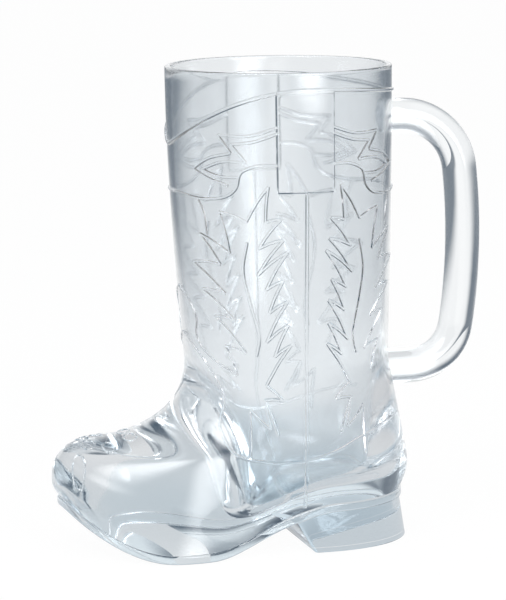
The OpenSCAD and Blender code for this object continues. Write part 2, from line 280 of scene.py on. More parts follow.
def unit(v):
    """Vectors scaled to length one."""
    return v / np.maximum(np.linalg.norm(v, axis=-1, keepdims=True), 1e-12)


def quarter(power, steps):
    """Points of a quarter of a superellipse, as shares of its two half-axes."""
    a = np.pi / 2 * np.arange(steps) / steps
    return np.cos(a) ** (2 / power), np.sin(a) ** (2 / power)


def mirrored(half):
    """A closed contour from its half on the +Y side."""
    return np.concatenate([half, half[-2:0:-1] * (1, -1, 1)])


class Boot:
    """The mug's curves, worked out from its sizes. x is counted from the shaft's axis."""

    def __init__(self, s):
        self.s = s
        self.origin_x = (s.toe_reach - s.handle_reach) / 2
        self.shift = np.array([self.origin_x, 0, 0])
        self.feather_x = -(s.toe_reach - s.toe_tuck)
        self.cap_x = -(s.toe_reach - s.toe_cap_len)
        self.land_front = -s.ball_x - s.land_len / 3
        self.land_back = self.land_front + s.land_len
        self.ankle_front = s.ankle_shift - s.ankle_r
        self.ankle_back = s.ankle_shift + s.ankle_r
        self.seat_back = self.ankle_back + s.back_flare - s.back_tuck
        self.seat_x = s.waist_x - s.breast_foot
        self.front = self.front_profile()
        low = self.feather_z(self.front[:, 0])
        self.shares = (self.front[:, 1] - low) / (s.ankle_z - low)
        self.bow, self.top_bend, self.foot_bend = self.handle_bends()
        self.roots = (s.root_z, 1), (self.foot_bend[1] - s.foot_bend_r, -1)

    def sole_z(self, x):
        """Underside of the outsole: toe spring, flat land, arch and heel seat."""
        s = self.s
        rise = (self.land_front - np.maximum(x, self.feather_x)) / (self.land_front - self.feather_x)
        t = np.clip((x - self.land_back) / (s.waist_x - self.land_back), 0, 1)
        return np.where(x < self.land_front, s.toe_spring * rise**2, s.heel_h * t * t * (3 - 2 * t))

    def feather_z(self, x):
        """Lower edge of the shell, on the outsole."""
        return self.sole_z(x) + self.s.sole_t + self.s.bond

    def shaft_t(self, z):
        """Share of the shaft's widening that is reached at a height."""
        return np.sin(np.pi / 2 * (z - self.s.ankle_z) / (self.s.mug_h - self.s.ankle_z))

    def shaft_r(self, z):
        """Outer radius of the shaft."""
        return mix(self.s.ankle_r, self.s.rim_r, self.shaft_t(z))

    def shaft_x(self, z):
        """Middle of the shaft, which leans back to the ankle."""
        return self.s.ankle_shift * (1 - self.shaft_t(z))

    def tuck(self, t):
        """Share of the tuck at the sole. t runs from the ankle down to the sole."""
        return (np.maximum(0, t - TUCK_FROM) / (1 - TUCK_FROM)) ** 2

    def counter_back(self, t):
        """Back of the counter."""
        return self.ankle_back + self.s.back_flare * t - self.s.back_tuck * self.tuck(t)

    def counter_half(self, t):
        """Half-width of the counter."""
        return self.s.ankle_r + self.s.side_flare * t - self.s.side_tuck * self.tuck(t)

    def sole_half(self, x, tip, back):
        """Half-width of the sole's outline, with its toe at tip and its back at back."""
        s = self.s
        nose = np.clip((-s.ball_x - x) / (-s.ball_x - tip), 0, 1)
        toe = s.ball_half * (1 - nose**NOSE_POWER) ** (1 / NOSE_POWER)
        arch = mix(s.ball_half, s.waist_half, swell((x + s.ball_x) / (s.ball_x - s.waist_x)))
        seat = mix(s.waist_half, s.seat_half, swell((x + s.waist_x) / (self.seat_x + s.waist_x)))
        end = s.seat_half * np.sqrt(1 - np.clip((x - self.seat_x) / (back - self.seat_x), 0, 1) ** 2)
        half = np.select([x < -s.ball_x, x < -s.waist_x, x < self.seat_x], [toe, arch, seat], end)
        return np.where((x <= tip) | (x >= back), 0, half)

    def egg_half(self, x, tip, back, half):
        """Half-width of the egg-shaped outline of the ankle and instep."""
        c = self.s.ankle_shift
        run = np.where(x < c, (c - x) / (c - tip), (x - c) / (back - c))
        return half * np.sqrt(1 - np.clip(run, 0, 1) ** 2)

    def upper_half(self, x, tip, share):
        """Half-width of the shell at x, a share of the way up from the sole to the ankle."""
        back = self.counter_back(1 - share)
        egg = self.egg_half(x, tip, back, self.counter_half(1 - share))
        sole = self.sole_half(x, tip, back)
        near = np.exp(-(((x + self.s.waist_x + PINCH_AHEAD) / PINCH_RUN) ** 2))
        pinch = self.s.waist_pinch * np.sin(np.pi * share) * near
        blend = np.sin(np.pi / 2 * np.minimum(1, share / EGG_FROM))
        return np.maximum(0, mix(sole, egg, blend) - np.minimum(pinch, egg / 3))

    def front_profile(self, tuck_steps=5, cap_steps=22, vamp_steps=34):
        """Points up the front: under the toe, over its cap and along the vamp to the ankle."""
        s = self.s
        t = np.arange(tuck_steps) / tuck_steps
        low = float(self.feather_z(self.feather_x))
        under = [self.feather_x - s.toe_tuck * (1 - (1 - t) ** 2), mix(low, s.toe_nose_z, t)]
        back, up = quarter(CAP_POWER, cap_steps)
        cap = [self.cap_x - s.toe_cap_len * back, mix(s.toe_nose_z, s.toe_cap_z, up)]
        down, back = quarter(VAMP_POWER, vamp_steps)
        vamp = [mix(self.cap_x, self.ankle_front, back), mix(s.ankle_z, s.toe_cap_z, down)]
        return np.concatenate([under, cap, vamp], 1).T

    def stations(self, tip, back, front_steps=54, strap_steps=15, back_steps=37):
        """Places along a half contour: close at both ends and at the strap's edges."""
        edge = self.s.strap_half + EDGE
        strap = np.linspace(-self.s.strap_half, self.s.strap_half, strap_steps)
        side = np.concatenate([[-edge - EDGE, -edge], strap, [edge, edge + EDGE]])
        fore, aft = side[0], side[-1]
        a = np.pi / 2 * np.arange(front_steps) / front_steps
        b = np.pi / 2 * np.arange(1, back_steps + 1) / back_steps
        return np.concatenate([mix(tip, fore, 1 - np.cos(a)), side, mix(aft, back, np.sin(b))])

    def foot_contour(self, tip, share):
        """A contour of the foot with its toe at tip, a share of the way up to the ankle."""
        x = self.stations(tip, float(self.counter_back(1 - share)))
        z = mix(self.feather_z(x), self.s.ankle_z, share)
        return mirrored(np.stack([x, self.upper_half(x, tip, share), z], 1))

    def shaft_point(self, a, z):
        """A point of the shaft by its angle from the front and its height."""
        r = self.shaft_r(z)
        return np.stack([self.shaft_x(z) - r * np.cos(a), r * np.sin(a), z], -1)

    def scallop(self, a):
        """Height of the top scallop round the shaft, by the angle from the front."""
        s = self.s
        rise = np.sin(np.clip(a, 0, np.pi / 2)) ** SCALLOP_POWER
        fore = mix(s.scallop_front_z, s.scallop_side_z, rise)
        return np.where(a < np.pi / 2, fore, mix(s.scallop_side_z, s.scallop_back_z, np.cos(a) ** 2))

    def shaft_contour(self, z0, share):
        """A contour of the shaft at z0, drawn a share of the way to the top scallop."""
        r, c = float(self.shaft_r(z0)), float(self.shaft_x(z0))
        a = np.arccos(np.clip((c - self.stations(c - r, c + r)) / r, -1, 1))
        return mirrored(self.shaft_point(a, mix(z0, self.scallop(a), share)))

    def skin(self, shaft_steps=39, strap_steps=20, rim_steps=12):
        """Rings of the outer skin from the sole to the rim, and which of them carry the strap."""
        s = self.s
        rings = [self.foot_contour(p[0], t) for p, t in zip(self.front, self.shares)]
        heights = np.linspace(s.ankle_z, s.strap_z - STRAP_RUN, shaft_steps)
        rings += [self.shaft_contour(z, 0) for z in heights]
        start = len(rings)
        rings += [self.shaft_contour(s.strap_z, t) for t in np.linspace(0, 1, strap_steps)]
        end = len(rings)
        rings += [self.shaft_contour(s.mug_h - s.lip, 1 - t) for t in np.linspace(0.1, 1, rim_steps)]
        return np.array(rings), start, end

    def ankle_fill(self, z, normals):
        """How far the sides are filled out to round the narrow of the ankle."""
        near = np.maximum(0, ANKLE_ROUND - np.abs(z - self.s.ankle_z))
        return ANKLE_KINK * near**2 / (2 * ANKLE_ROUND) * normals[..., 1] ** 2

    def rim(self, ring, normals, steps=8):
        """Rings over the rounded lip, from the outer skin's last ring to the inside."""
        s = self.s
        rings = []
        for a in np.pi * np.arange(1, steps) / steps:
            over = ring - normals * (s.wall / 2 - s.wall / 2 * np.cos(a))
            over[:, 2] = s.mug_h - s.lip + s.lip * np.sin(a)
            rings.append(over)
        return rings

    def well(self, ankle, wall_steps=20, round_steps=12, floor_steps=8):
        """Rings of the drinking well from the ankle down to the middle of its floor."""
        s = self.s
        u = unit(ankle[:, :2] - (s.ankle_shift, 0))
        t = np.arange(wall_steps - 1, -1, -1) / wall_steps
        a = np.pi / 2 * np.arange(1, round_steps + 1) / round_steps
        low = s.well_r - s.floor_round * (1 - np.cos(a))
        steps = [(mix(s.well_r, s.ankle_r - s.wall, k), k, s.floor_round) for k in t]
        steps += [(r, 0, lift) for r, lift in zip(low, s.floor_round * (1 - np.sin(a)))]
        steps += [(low[-1] * k, 0, 0) for k in np.linspace(1, 0, floor_steps + 1)[1:]]
        rings = []
        for r, share, lift in steps:
            x = s.ankle_shift + s.well_shift * (1 - share) + r * u[:, 0]
            z = mix(self.feather_z(x) + s.floor_t + lift, s.ankle_z, share)
            rings.append(np.stack([x, r * u[:, 1], z], 1))
        return rings

    def side_y(self, x, z):
        """Half-width of the outer skin at a place in side view."""
        share = np.clip((z - self.feather_z(x)) / (self.s.ankle_z - self.feather_z(x)), 0, 1)
        tip = np.interp(share, self.shares, self.front[:, 0])
        low = self.upper_half(x, tip, share)
        high = np.sqrt(np.maximum(0, self.shaft_r(z) ** 2 - (x - self.shaft_x(z)) ** 2))
        return np.where(z < self.s.ankle_z, low, high)

    def round_point(self, a, z):
        """A point of the skin by its angle from the front and its height, on the +Y side."""
        up = np.maximum(z, self.s.ankle_z)
        x = self.shaft_x(up) - self.shaft_r(up) * np.cos(a)
        y = np.where(z > self.s.ankle_z, self.shaft_r(up) * np.sin(a), self.side_y(x, z))
        return np.stack([x, y, z], -1)

    def top_point(self, x, y, samples=400, below_ankle=0.001):
        """A point of the vamp or the toe by its place in plan."""
        heights = np.linspace(self.s.toe_nose_z, self.s.ankle_z - below_ankle, samples)
        sides = [self.side_y(np.full(samples, u), heights) for u in x]
        z = [np.interp(-abs(v), -side, heights) for v, side in zip(y, sides)]
        return np.stack([x, y, z], -1)

    def back_x(self, y, z):
        """Back of the shell at a place seen from behind."""
        s = self.s
        t = (s.ankle_z - z) / (s.ankle_z - s.heel_h - s.sole_t - s.bond)
        low = mix(s.ankle_shift, self.counter_back(t), np.sqrt(1 - (y / s.ankle_r) ** 2))
        high = self.shaft_x(z) + np.sqrt(np.maximum(0, self.shaft_r(z) ** 2 - y**2))
        return np.where(z > s.ankle_z, high, low)

    def handle_bends(self):
        """Centres of the grip's bow and of the handle's upper and lower bends, in side view."""
        s = self.s
        up = (s.grip_bow_r - s.top_bend_r) * np.array([math.cos(BOW_UP), math.sin(BOW_UP)])
        down = (s.grip_bow_r - s.foot_bend_r) * np.array([math.cos(BOW_DOWN), -math.sin(BOW_DOWN)])
        bow = np.array([s.handle_reach - s.rod_d / 2 - s.grip_bow_r, s.root_z - s.top_bend_r - up[1]])
        return bow, bow + up, bow + down

    def root_ring(self, z, up, share, off):
        """A ring of the handle's end where it meets the shell, off the shell by a film."""
        r = share * self.s.rod_d / 2
        y, h = r * np.sin(ROD_SIDES), z + up * r * np.cos(ROD_SIDES)
        return np.stack([self.back_x(y, h) + off, y, h], 1)

    def bend_ring(self, centre, radius, a):
        """A ring of the rod at an angle of one of its bends."""
        r = self.s.rod_d / 2
        d = radius + r * np.cos(ROD_SIDES)
        x, z = centre[0] + d * math.cos(a), centre[1] + d * math.sin(a)
        return np.stack([x, r * np.sin(ROD_SIDES), z], 1)

    def on_sole(self, plan, off=0.0):
        """A ring in plan put on the outsole's underside, or off it."""
        return np.column_stack([plan, self.sole_z(plan[:, 0]) + off])

    def sole_outline(self, d):
        """The shell's lower edge in plan, moved out by d."""
        ring = self.foot_contour(self.front[0, 0], 0.0)[:, :2]
        along = np.roll(ring, -1, 0) - np.roll(ring, 1, 0)
        return ring + d * unit(np.stack([-along[:, 1], along[:, 0]], 1))

    def heel_outline(self, z, inset=0.0):
        """Outline of the heel in plan at the heights of its points, moved in by inset."""
        s, k = self.s, HEEL_CORNER_STEPS
        z = np.broadcast_to(z, HEEL_POINTS)[: k + HEEL_SIDE_STEPS + 1]
        front = s.breast_foot - BREAST_SLOPE * z + inset
        back = self.seat_back + s.heel_flare * (1 - z / s.heel_h) - inset
        half = mix(s.heel_half, s.seat_half - s.welt, z / s.heel_h) - inset
        turn = np.pi / 2 * np.arange(k) / k
        side = np.pi / 2 * (1 - np.arange(HEEL_SIDE_STEPS + 1) / HEEL_SIDE_STEPS)
        corner = [front[:k], -half[:k]] + HEEL_CORNER * (1 - np.array([np.cos(turn), np.sin(turn)]))
        round_back = mix(front[k:] + HEEL_CORNER, back[k:], np.cos(side) ** HEEL_POWER)
        near = np.concatenate([corner, [round_back, -half[k:] * np.sin(side)]], 1).T
        return np.concatenate([near, near[-2::-1] * (1, -1)])

    def heel_ring(self, share, low, rounds=6):
        """A ring of the heel a share of the way up to the outsole, settled in a few rounds."""
        z = mix(low, self.s.heel_h, share)
        for _ in range(rounds):
            plan = self.heel_outline(z)
            z = mix(low, self.sole_z(plan[:, 0]) - self.s.bond, share)
        return np.column_stack([plan, z])


def inward(ring, ends, shares):
    """Outlines in plan, each a share of the way in from a ring to its middle line."""
    middle = np.stack([np.clip(ring[:, 0], *ends), np.zeros(len(ring))], 1)
    return [mix(ring[:, :2], middle, t) for t in shares]


def level(plan, z):
    """A ring in plan put at one height."""
    return np.column_stack([plan, np.full(len(plan), z)])


def both_caps(rings, count):
    """The strips of faces that close a piece of rings at both its ends."""
    last = len(rings) - 1
    return [*range(count), *range(last - count, last)]


def outward(rings):
    """Unit normals of a grid of rings, pointing out of it."""
    along = np.roll(rings, -1, 1) - np.roll(rings, 1, 1)
    return unit(np.cross(np.gradient(rings, axis=0), along))


def ring_mesh(boot, name, rings, bonded=(), materials=(), weld=1e-7, sliver=1e-8):
    """A piece of rings joined one to the next. Rings that shrink to a line or a point close it.
    The faces from each ring in bonded to the next are cemented to another piece."""
    rings = np.asarray(rings, float) + boot.shift
    count, n = rings.shape[:2]
    bm = bmesh.new()
    verts = [bm.verts.new(p) for p in rings.reshape(-1, 3)]
    for i in range(count - 1):
        low, high = verts[i * n : (i + 1) * n], verts[(i + 1) * n : (i + 2) * n]
        for j in range(n):
            m = (j + 1) % n
            face = bm.faces.new((low[j], low[m], high[m], high[j]))
            face.material_index = int(i in bonded)
    bmesh.ops.remove_doubles(bm, verts=bm.verts, dist=weld)
    bmesh.ops.dissolve_degenerate(bm, edges=bm.edges, dist=sliver)
    if bm.calc_volume(signed=True) < 0:
        bmesh.ops.reverse_faces(bm, faces=bm.faces)
    mesh = bpy.data.meshes.new(name)
    bm.to_mesh(mesh)
    bm.free()
    for key in materials:
        mesh.materials.append(material(key))
    obj = bpy.data.objects.new(name, mesh)
    bpy.context.scene.collection.objects.link(obj)
    return obj


def bake(obj):
    """Turns an object with modifiers into a plain mesh."""
    deps = bpy.context.evaluated_depsgraph_get()
    plain = bpy.data.meshes.new_from_object(obj.evaluated_get(deps), depsgraph=deps)
    if len(plain.polygons) == 0:
        raise RuntimeError("Nothing is left of " + obj.name)
    obj.modifiers.clear()
    obj.data = plain


def unite(obj, tool):
    """Unites a piece with a tool, which is used up."""
    mod = obj.modifiers.new("join", "BOOLEAN")
    mod.operation, mod.solver, mod.object = "UNION", "MANIFOLD", tool
    bake(obj)
    bpy.data.objects.remove(tool)


def imprint(obj, pad, facing, inside):
    """Puts a film of cement on a piece and marks it: the faces aft of the middle that face one way,
    where inside(centre) holds."""
    unite(obj, pad)
    for face in obj.data.polygons:
        if face.center.x > 0 and face.normal.dot(facing) > 0.5 and inside(face.center):
            face.material_index = 1


def dress(obj, node):
    """Smooths a finished piece and puts it in place of a solid."""
    obj.data.shade_smooth()
    obj.data.set_sharp_from_angle(angle=SHARP_EDGE)
    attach(obj, "root")
    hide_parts(node)


def add(tree, kind, inputs=None, **settings):
    """Adds a node with its settings. An input is a value, a socket to link, or a node, whose first
    output is linked."""
    node = tree.nodes.new(kind)
    for key, value in settings.items():
        setattr(node, key, value)
    for key, value in (inputs or {}).items():
        source = value.outputs[0] if isinstance(value, bpy.types.Node) else value
        if isinstance(source, bpy.types.NodeSocket):
            tree.links.new(source, node.inputs[key])
        else:
            node.inputs[key].default_value = source
    return node


def bare_tree(owner):
    """The emptied node tree of a new material, world or lamp."""
    owner.use_nodes = True
    owner.node_tree.nodes.clear()
    return owner.node_tree


def clear_polystyrene(name, colour, deep, roughness):
    """Clear polystyrene from a polished mould: colourless but for a faint blue cast, which is deeper
    low down where it is thick, with the slight waviness that the flow leaves."""
    mat = bpy.data.materials.new(name)
    tree = bare_tree(mat)
    place = add(tree, "ShaderNodeTexCoord").outputs["Object"]
    flow = add(tree, "ShaderNodeTexNoise", {"Vector": place, "Scale": 1 / FLOW_SIZE, "Detail": 2.0})
    clear, cloudy = (roughness * share for share in FLOW_HAZE)
    haze = add(tree, "ShaderNodeMapRange", {"Value": flow, "To Min": clear, "To Max": cloudy})
    height = add(tree, "ShaderNodeSeparateXYZ", {0: place}).outputs["Z"]
    thin = add(tree, "ShaderNodeMapRange", {"Value": height, **THIN_FROM}, **SMOOTH)
    streak = add(tree, "ShaderNodeMath", {0: flow, 1: FLOW_TINT, 2: thin}, operation="MULTIPLY_ADD")
    shades = {"Factor": streak, 6: [*deep, 1], 7: [*colour, 1]}
    cast = add(tree, "ShaderNodeMix", shades, data_type="RGBA")
    wave = add(tree, "ShaderNodeBump", {"Height": flow, **FLOW_WAVE})
    optics = {"Base Color": cast.outputs[2], "Roughness": haze, "IOR": POLYSTYRENE_IOR, "Normal": wave}
    glass = add(tree, "ShaderNodeBsdfPrincipled", {**optics, "Transmission Weight": 1.0})
    add(tree, "ShaderNodeOutputMaterial", {"Surface": glass})
    return mat


def solvent_bond():
    """Solvent-cemented face: the two plastics have melted into one, so light goes on unbent."""
    mat = bpy.data.materials.new("solvent_bond")
    mat.use_nodes = True
    mat.node_tree.nodes["Principled BSDF"].inputs["Alpha"].default_value = 0.0
    return mat


def material(name):
    """One of the mug's materials, made when it is first used."""
    if name == "bond":
        return bpy.data.materials.get("solvent_bond") or solvent_bond()
    look = bpy.context.scene.boot_look
    label = "polystyrene_" + name
    deep = look.heel if name == "heel" else look.sole
    return bpy.data.materials.get(label) or clear_polystyrene(label, getattr(look, name), deep, HAZE[name])


def spline(points, step, knots_between=8):
    """A smooth line through points, sampled about every step."""
    points = np.asarray(points, float)
    ends = np.concatenate([[2 * points[0] - points[1]], points, [2 * points[-1] - points[-2]]])
    t = np.linspace(0, 1, knots_between, endpoint=False)[:, None]
    knots = [
        0.5 * (2 * b + (c - a) * t + (2 * a - 5 * b + 4 * c - d) * t**2 + (3 * b - a - 3 * c + d) * t**3)
        for a, b, c, d in zip(ends, ends[1:], ends[2:], ends[3:])
    ]
    knots = np.concatenate([*knots, points[-1:]])
    run = distance_along(knots)
    even = np.linspace(0, run[-1], max(4, int(round(run[-1] / step)) + 1))
    return np.stack([np.interp(even, run, knots[:, i]) for i in range(knots.shape[1])], 1)


def distance_along(points):
    """How far along a line each of its points lies."""
    return np.concatenate([[0], np.cumsum(np.linalg.norm(np.diff(points, axis=0), axis=1))])


def flames(top, notches, tips, foot=None):
    """The strokes of a leaf's barbed edge: in to each notch, out to its tip, and on."""
    strokes, last = [], top
    for notch, tip in zip(notches, tips):
        strokes += [bowed(last, notch), bowed(notch, tip)]
        last = tip
    return strokes + ([bowed(last, foot)] if foot else [])


def bowed(a, b):
    """A stroke from a to b with a slight bow."""
    a, b = np.asarray(a, float), np.asarray(b, float)
    aside = np.array([b[1] - a[1], a[0] - b[0]]) * BARB_BOW
    return a, (a + b) / 2 + aside * np.sign(aside[1]), b


class Rib:
    """A raised line on the skin: its middle, a little below the skin, the skin's normals, and its
    scale along it. On the side -1 it is mirrored."""

    def __init__(self, path, normals, scale, side=1, closed=False):
        path, normals = path * (1, side, 1), normals * (1, side, 1)
        self.path = path - normals * RIB_SUNK * min(scale, 1)
        self.normals, self.closed = normals, closed
        self.girth = np.full(len(path), float(scale))
        if not closed:
            run = distance_along(path)
            near = np.minimum(run, run[-1] - run) / RIB_TAPER_RUN
            self.girth *= mix(RIB_TAPER, 1, np.clip(near, 0, 1))


def stroke_line(boot, stroke):
    """Angles in degrees and heights in metres along a smooth stroke."""
    reach = np.array([math.radians(1) * boot.s.ankle_r, 0.001])
    a, z = (spline(np.asarray(stroke, float) * reach, RIB_STEP) / reach).T
    return a, z / 1000


def skin_rib(boot, a, z, side, scale):
    """A rib on the skin by its angles from the front and its heights."""
    path = boot.round_point(a, z)
    lean = boot.round_point(a + TURN_STEP, z) - boot.round_point(a - TURN_STEP, z)
    rise = boot.round_point(a, z + PLACE_STEP) - boot.round_point(a, z - PLACE_STEP)
    n = unit(np.cross(rise, lean))
    return Rib(path + n * boot.ankle_fill(z, n)[:, None], n, scale, side)


def seam_rib(boot, side, steps=110, top_gap=0.001, foot_gap=0.0012):
    """The side seam, from below the strap to above the sole."""
    s = boot.s
    foot = float(boot.feather_z(0.0)) + foot_gap
    z = np.linspace(s.strap_z - top_gap, foot, steps)
    up = np.maximum(z, s.ankle_z)
    return skin_rib(boot, np.arccos(boot.shaft_x(up) / boot.shaft_r(up)), z, side, SEAM_SCALE)


def oval_rib(boot, x, y, side, steps=36):
    """An oval on the toe, by its middle in plan."""
    t = 2 * np.pi * np.arange(steps) / steps
    u = (-x + OVAL_HALF[0] * np.cos(t)) / 1000
    v = (y + OVAL_HALF[1] * np.sin(t)) / 1000
    ahead = boot.top_point(u + PLACE_STEP, v) - boot.top_point(u - PLACE_STEP, v)
    across = boot.top_point(u, v + PLACE_STEP) - boot.top_point(u, v - PLACE_STEP)
    return Rib(boot.top_point(u, v), unit(np.cross(ahead, across)), OVAL_SCALE, side, closed=True)


def bead_rib(boot, spacing=1.2):
    """The bead along the top scallop, with a point every few degrees."""
    a = np.radians(np.arange(0, 360, spacing))
    turn = np.where(a > np.pi, 2 * np.pi - a, a)
    z = boot.scallop(turn)
    ring = boot.shaft_point(turn, z)
    ring[:, 1] *= np.where(a > np.pi, -1, 1)
    out = unit(ring - np.stack([boot.shaft_x(z), np.zeros_like(z), z], 1))
    return Rib(ring, out, BEAD_SCALE, closed=True)


def skin_ribs(boot):
    """All the raised lines of the shell, laid on its outer skin."""
    leaf = flames(LEAF_TOP, FRONT_NOTCHES, FRONT_TIPS, FRONT_FOOT)
    leaf += flames(LEAF_TOP, SEAM_NOTCHES, SEAM_TIPS)
    ribs = []
    for side in (1, -1):
        for stroke in (*leaf, *QUARTER_LINES):
            a, z = stroke_line(boot, stroke)
            for turn in (a, BACK_MIRROR - a):
                ribs.append(skin_rib(boot, np.radians(turn), z, side, STITCH_SCALE))
        for stroke in SIDE_LINES:
            a, z = stroke_line(boot, stroke)
            ribs.append(skin_rib(boot, np.radians(a), z, side, STITCH_SCALE))
        ribs.append(seam_rib(boot, side))
        ribs += [oval_rib(boot, x, y, side) for x, y in TOE_OVALS]
    return [*ribs, bead_rib(boot)]


def rib_sets(ribs):
    """Sorts ribs into sets in which no two touch."""
    sets = []
    for rib in ribs:
        free = [group for group in sets if not any(touch(rib, other) for other in group)]
        if not free:
            sets.append([])
            free = sets[-1:]
        free[0].append(rib)
    return sets


def touch(a, b):
    """Whether two ribs meet."""
    return np.linalg.norm(a.path[:, None] - b.path[None], axis=2).min() < 2 * RIB_FOOT


def rib_tree(mat):
    """Node group that turns lines on the skin into ribs with steep sides and a flat crown."""
    tree = bpy.data.node_groups.new("surface_ribs", "GeometryNodeTree")
    for way in ("INPUT", "OUTPUT"):
        tree.interface.new_socket("Geometry", in_out=way, socket_type="NodeSocketGeometry")
    sizes = {"Foot": RIB_FOOT, "Crown": RIB_CROWN, "Height": RIB_HEIGHT, "Rounding": RIB_ROUND}
    keys = {n: tree.interface.new_socket(n, socket_type="NodeSocketFloat").identifier for n in sizes}
    size = add(tree, "NodeGroupInput").outputs
    lie = add(tree, "GeometryNodeInputNamedAttribute", {"Name": "lie"}, data_type="FLOAT_VECTOR")
    girth = add(tree, "GeometryNodeInputNamedAttribute", {"Name": "girth"}, data_type="FLOAT")
    line = add(tree, "GeometryNodeMeshToCurve", {"Mesh": size["Geometry"]})
    lean = {"Curve": line, "Normal": lie.outputs["Attribute"]}
    line = add(tree, "GeometryNodeSetCurveNormal", lean, mode="FREE")
    form = {"Bottom Width": size["Foot"], "Top Width": size["Crown"], "Height": size["Height"], "Offset": 0}
    block = add(tree, "GeometryNodeCurvePrimitiveQuadrilateral", form, mode="TRAPEZOID")
    rounding = {"Curve": block, "Radius": size["Rounding"], "Count": 3}
    soft = add(tree, "GeometryNodeFilletCurve", rounding, mode="POLY")
    stand = add(tree, "GeometryNodeTransform", {"Geometry": soft, "Rotation": (0, 0, -math.pi / 2)})
    sweep = {"Curve": line, "Profile Curve": stand, "Scale": girth.outputs["Attribute"], "Fill Caps": True}
    tube = add(tree, "GeometryNodeCurveToMesh", sweep)
    real = add(tree, "GeometryNodeRealizeInstances", {"Geometry": tube})
    tinted = add(tree, "GeometryNodeSetMaterial", {"Geometry": real, "Material": mat})
    add(tree, "NodeGroupOutput", {"Geometry": tinted})
    return tree, {keys[n]: value for n, value in sizes.items()}


def rib_object(name, ribs, tree, sizes, shift):
    """A plain mesh of ribs, made by the node group along the ribs' paths."""
    verts, edges, lie, girth = [], [], [], []
    for rib in ribs:
        base, n = len(verts), len(rib.path)
        verts += list(rib.path + shift)
        lie += list(rib.normals.ravel())
        girth += list(rib.girth)
        edges += [(base + i, base + (i + 1) % n) for i in range(n if rib.closed else n - 1)]
    mesh = bpy.data.meshes.new(name + "_lines")
    mesh.from_pydata(verts, edges, [])
    mesh.attributes.new("girth", "FLOAT", "POINT").data.foreach_set("value", girth)
    mesh.attributes.new("lie", "FLOAT_VECTOR", "POINT").data.foreach_set("vector", lie)
    obj = bpy.data.objects.new(name, mesh)
    bpy.context.scene.collection.objects.link(obj)
    mod = obj.modifiers.new("ribs", "NODES")
    mod.node_group = tree
    for key, value in sizes.items():
        mod[key] = value
    bake(obj)
    return obj


def join_ribs(obj, ribs, shift):
    """Unites a shell with its ribs, one set after another, so that no two surfaces overlap."""
    tree, sizes = rib_tree(obj.data.materials[0])
    for i, group in enumerate(rib_sets(ribs)):
        unite(obj, rib_object("rib_set_%d" % i, group, tree, sizes, shift))


class MUG_OT_shell(bpy.types.Operator):
    """Build the moulded upper: shaft, vamp, toe, counter and the drinking well"""

    bl_idname = "mug.shell"
    bl_label = "Shell"

    def execute(self, context):
        boot = Boot(context.scene.boot_shape)
        s = boot.s
        rings, start, end = boot.skin()
        normals = outward(rings)
        relief = boot.ankle_fill(rings[..., 2], normals)
        aside = np.abs(rings[start][:, 0])
        relief[start:end, aside < s.strap_half + 1.5 * EDGE] = -GROOVE
        relief[start:end, aside < s.strap_half + 0.5 * EDGE] = s.strap_relief
        outer = rings + normals * relief[..., None]
        inner = rings - normals * s.wall
        inner[-1, :, 2] = rings[-1, :, 2]
        ankle = len(boot.front)
        base = inward(rings[0], SOLE_MIDDLE, SOLE_SHARES[:0:-1])
        under = [boot.on_sole(p, s.sole_t + s.bond) for p in base]
        lip = boot.rim(rings[-1], normals[-1])
        loop = [*under, *outer, *lip, *inner[:ankle:-2], *boot.well(inner[ankle])]
        shell = ring_mesh(boot, "boot_shell", loop, range(len(under)), ("shell", "bond"))
        join_ribs(shell, skin_ribs(boot), boot.shift)
        reach = ROOT_MARK * s.rod_d / 2
        for z, up in boot.roots:
            film = [boot.root_ring(z, up, t * ROOT_FILM_SIZE, d) for t, d in ROOT_FILM]
            pad = ring_mesh(boot, "root_pad", film)
            imprint(shell, pad, Vector((1, 0, 0)), lambda c: math.hypot(c.y, c.z - z) < reach)
        dress(shell, "boot_upper")
        return {"FINISHED"}


class MUG_OT_outsole(bpy.types.Operator):
    """Build the outsole with its rounded edge and the seat of the heel"""

    bl_idname = "mug.outsole"
    bl_label = "Outsole"

    def execute(self, context):
        boot = Boot(context.scene.boot_shape)
        s = boot.s
        inset = s.welt - SOLE_SOFT
        base = inward(boot.sole_outline(inset), SOLE_MIDDLE, SOLE_SHARES[::-1])
        rings = [boot.on_sole(p) for p in base]
        for a in SOFT_TURN[1:]:
            edge = boot.sole_outline(inset + SOLE_SOFT * np.sin(a))
            rings.append(boot.on_sole(edge, SOLE_SOFT * (1 - np.cos(a))))
        for a in SOFT_TURN:
            edge = boot.sole_outline(inset + SOLE_SOFT * np.cos(a))
            rings.append(boot.on_sole(edge, s.sole_t - SOLE_SOFT * (1 - np.sin(a))))
        first = len(rings)
        top = inward(boot.sole_outline(0), SOLE_MIDDLE, SOLE_SHARES)
        rings += [boot.on_sole(p, s.sole_t) for p in top]
        sole = ring_mesh(boot, "outsole_plate", rings, range(first, len(rings)), ("sole", "bond"))
        seat = boot.heel_ring(1, s.lift_t + s.bond)
        film = [boot.on_sole(inward(seat, HEEL_MIDDLE, [1 - t])[0], d) for t, d in SEAT_FILM]
        pad = ring_mesh(boot, "seat_pad", film)
        low = Vector((0, 0, -1))
        imprint(sole, pad, low, lambda c: c.z < boot.sole_z(c.x - boot.origin_x) - SEAT_MARK)
        dress(sole, "outsole")
        return {"FINISHED"}


